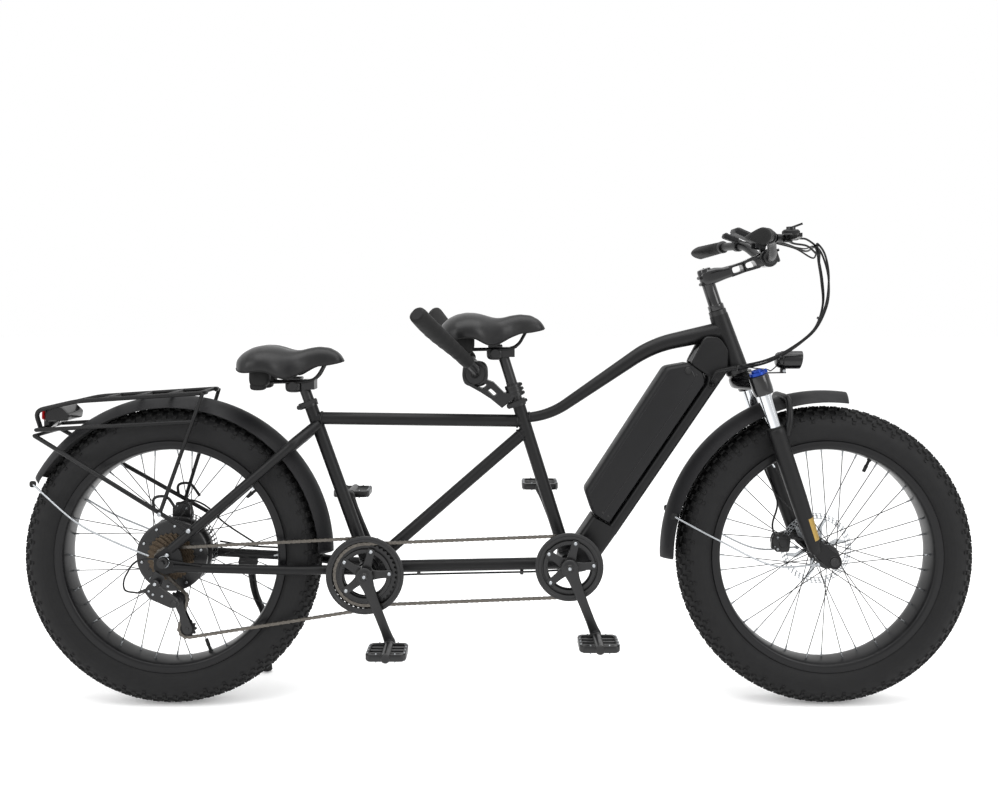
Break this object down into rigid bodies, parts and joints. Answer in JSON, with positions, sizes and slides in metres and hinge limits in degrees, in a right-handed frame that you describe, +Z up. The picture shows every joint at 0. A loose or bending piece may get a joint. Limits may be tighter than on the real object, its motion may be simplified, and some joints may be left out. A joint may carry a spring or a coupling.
{
  "type": "electric tandem bicycle",
  "caption": "Black fat-tyre electric tandem with suspension fork, battery on the down tube, hub motor, rear rack, twin chains, steering, spinning wheels and cranks.",
  "frame": {"origin": "on the ground, half way between the two axles", "axes": "+X forwards, +Y to the riders' left, +Z up"},
  "size_m": [2.365, 0.6966, 1.1894],
  "materials": {
    "frame_black": "matt",
    "alloy_black": "satin",
    "alloy_silver": "satin",
    "steel_black": "gloss",
    "stanchion_and_crown": "gloss",
    "fender_plastic": "matt",
    "case_plastic": "satin",
    "lamp_plastic": "gloss",
    "blue_plastic": "gloss",
    "tail_plastic": "gloss",
    "tyre_rubber": "matt",
    "grip_rubber": "matt",
    "cable_sleeve": "satin",
    "saddle_cover": "satin",
    "chain_steel": "satin",
    "cog_steel": "satin",
    "spoke_steel": "satin"
  },
  "bodies": {
    "frame": {"head_tube": "frame_black", "down_tube": "frame_black", "front_top_tube": "frame_black", "captain_seat_tube": "frame_black", "stoker_seat_tube": "frame_black", "rear_top_tube": "frame_black", "diagonal_tube": "frame_black", "boom_tube": "frame_black", "chain_stays": "frame_black", "seat_stays": "frame_black", "axle_and_bearings": "alloy_silver", "luggage_rack": "steel_black", "rear_light": "tail_plastic", "rear_fender": "fender_plastic", "rear_brake_caliper": "alloy_black", "timing_chain": "chain_steel", "drive_chain": "chain_steel", "frame_cables": "cable_sleeve", "seat_collars": "alloy_black", "derailleur_body": "alloy_black"},
    "captain_qr": {"captain_qr_lever": "alloy_black"},
    "stoker_qr": {"stoker_qr_lever": "alloy_black"},
    "battery_pack": {"battery": "case_plastic"},
    "steering": {"fork_crown": "stanchion_and_crown", "stem": "alloy_black", "handlebar": "alloy_black", "handlebar_grips": "grip_rubber", "bar_controls": "case_plastic", "headlight": "lamp_plastic", "control_cables": "cable_sleeve"},
    "lockout": {"lockout_knob": "blue_plastic"},
    "right_brake_lever": {"brake_lever_right": "alloy_black"},
    "left_brake_lever": {"brake_lever_left": "alloy_black"},
    "shifter": {"shift_lever": "case_plastic"},
    "fork_lower": {"fork_lowers": "frame_black", "front_fender": "fender_plastic", "front_brake_caliper": "alloy_black"},
    "front_wheel": {"front_tyre": "tyre_rubber", "front_rim": "alloy_black", "front_spokes": "spoke_steel", "front_hub": "alloy_black"},
    "rear_wheel": {"rear_tyre": "tyre_rubber", "rear_rim": "alloy_black", "rear_spokes": "spoke_steel", "hub_motor": "alloy_black"},
    "freewheel": {"freewheel": "cog_steel"},
    "captain_crankset": {"captain_cranks": "alloy_black"},
    "stoker_crankset": {"stoker_cranks": "alloy_black"},
    "captain_right_pedal": {"captain_pedal_right": "alloy_black"},
    "captain_left_pedal": {"captain_pedal_left": "alloy_black"},
    "stoker_right_pedal": {"stoker_pedal_right": "alloy_black"},
    "stoker_left_pedal": {"stoker_pedal_left": "alloy_black"},
    "derailleur_arm": {"derailleur_cage": "alloy_black"},
    "captain_post": {"captain_seatpost": "alloy_black", "captain_saddle": "saddle_cover", "stoker_stem": "alloy_black", "stoker_grips": "grip_rubber"},
    "stoker_post": {"stoker_seatpost": "alloy_black", "stoker_saddle": "saddle_cover"},
    "kickstand_leg": {"kickstand": "steel_black"}
  },
  "joints": [
    {"name": "steering", "type": "hinge", "parent": "frame", "child": "steering", "pos_m": [0.60604, 0, 0.80004], "axis": [-0.3122, 0, 0.95], "range_deg": [-45, 45], "deforming": ["control_cables"]},
    {"name": "fork_travel", "type": "slide", "parent": "steering", "child": "fork_lower", "axis": [-0.3122, 0, 0.95], "range_m": [0, 0.045], "stiffness_N_per_m": 12000, "springref_m": -0.03},
    {"name": "front_wheel_spin", "type": "hinge", "parent": "fork_lower", "child": "front_wheel", "pos_m": [0.8125, 0, 0.37], "axis": [0, 1, 0], "continuous": true},
    {"name": "rear_wheel_spin", "type": "hinge", "parent": "frame", "child": "rear_wheel", "pos_m": [-0.8125, 0, 0.37], "axis": [0, 1, 0], "continuous": true},
    {"name": "stoker_crank_spin", "type": "hinge", "parent": "frame", "child": "stoker_crankset", "pos_m": [-0.326, 0, 0.336], "axis": [0, 1, 0], "continuous": true},
    {"name": "captain_crank_spin", "type": "hinge", "parent": "frame", "child": "captain_crankset", "pos_m": [0.171, 0, 0.356], "axis": [0, 1, 0], "continuous": true},
    {"name": "freewheel_spin", "type": "hinge", "parent": "frame", "child": "freewheel", "pos_m": [-0.8125, 0, 0.37], "axis": [0, 1, 0], "continuous": true},
    {"name": "captain_right_pedal_spin", "type": "hinge", "parent": "captain_crankset", "child": "captain_right_pedal", "pos_m": [0.23394, -0.1555, 0.19539], "axis": [0, 1, 0], "continuous": true},
    {"name": "captain_left_pedal_spin", "type": "hinge", "parent": "captain_crankset", "child": "captain_left_pedal", "pos_m": [0.10806, 0.1555, 0.51661], "axis": [0, 1, 0], "continuous": true},
    {"name": "stoker_right_pedal_spin", "type": "hinge", "parent": "stoker_crankset", "child": "stoker_right_pedal", "pos_m": [-0.26306, -0.1555, 0.17539], "axis": [0, 1, 0], "continuous": true},
    {"name": "stoker_left_pedal_spin", "type": "hinge", "parent": "stoker_crankset", "child": "stoker_left_pedal", "pos_m": [-0.38894, 0.1555, 0.49661], "axis": [0, 1, 0], "continuous": true},
    {"name": "derailleur_tension", "type": "hinge", "parent": "frame", "child": "derailleur_arm", "pos_m": [-0.7835, -0.069, 0.273], "axis": [0, 1, 0], "range_deg": [-15, 40], "stiffness_Nm_per_rad": 1, "springref_deg": -28.65, "deforming": ["drive_chain"]},
    {"name": "right_brake_lever_pull", "type": "hinge", "parent": "steering", "child": "right_brake_lever", "pos_m": [0.68304, -0.15, 1.15014], "axis": [0, 0, -1], "range_deg": [0, 20], "stiffness_Nm_per_rad": 2, "springref_deg": -11.46},
    {"name": "left_brake_lever_pull", "type": "hinge", "parent": "steering", "child": "left_brake_lever", "pos_m": [0.68304, 0.15, 1.15014], "axis": [0, 0, 1], "range_deg": [0, 20], "stiffness_Nm_per_rad": 2, "springref_deg": -11.46},
    {"name": "shift_lever_turn", "type": "hinge", "parent": "steering", "child": "shifter", "pos_m": [0.69804, -0.118, 1.17314], "axis": [0, 0, 1], "range_deg": [-25, 25]},
    {"name": "fork_lockout_turn", "type": "hinge", "parent": "steering", "child": "lockout", "pos_m": [0.62894, -0.08, 0.82269], "axis": [-0.3122, 0, 0.95], "range_deg": [0, 90]},
    {"name": "battery_slide", "type": "slide", "parent": "frame", "child": "battery_pack", "axis": [0, -1, 0], "range_m": [0, 0.12]},
    {"name": "captain_qr_turn", "type": "hinge", "parent": "frame", "child": "captain_qr", "pos_m": [0.0252, -0.0185, 0.74099], "axis": [0, 1, 0], "range_deg": [-150, 0]},
    {"name": "stoker_qr_turn", "type": "hinge", "parent": "frame", "child": "stoker_qr", "pos_m": [-0.4965, -0.0185, 0.73797], "axis": [0, 1, 0], "range_deg": [-150, 0]},
    {"name": "captain_seat_height", "type": "slide", "parent": "frame", "child": "captain_post", "axis": [-0.3002, 0, 0.9539], "range_m": [0, 0.06]},
    {"name": "stoker_seat_height", "type": "slide", "parent": "frame", "child": "stoker_post", "axis": [-0.3404, 0, 0.9403], "range_m": [0, 0.08]},
    {"name": "kickstand_fold", "type": "hinge", "parent": "frame", "child": "kickstand_leg", "pos_m": [-0.6485, 0.093, 0.324], "axis": [-0.117, 0.985, 0.127], "range_deg": [0, 95]}
  ],
  "couplings": [
    {"joint": "captain_crank_spin", "follows": "stoker_crank_spin", "ratio": 1},
    {"joint": "freewheel_spin", "follows": "stoker_crank_spin", "ratio": 3.0707}
  ]
}
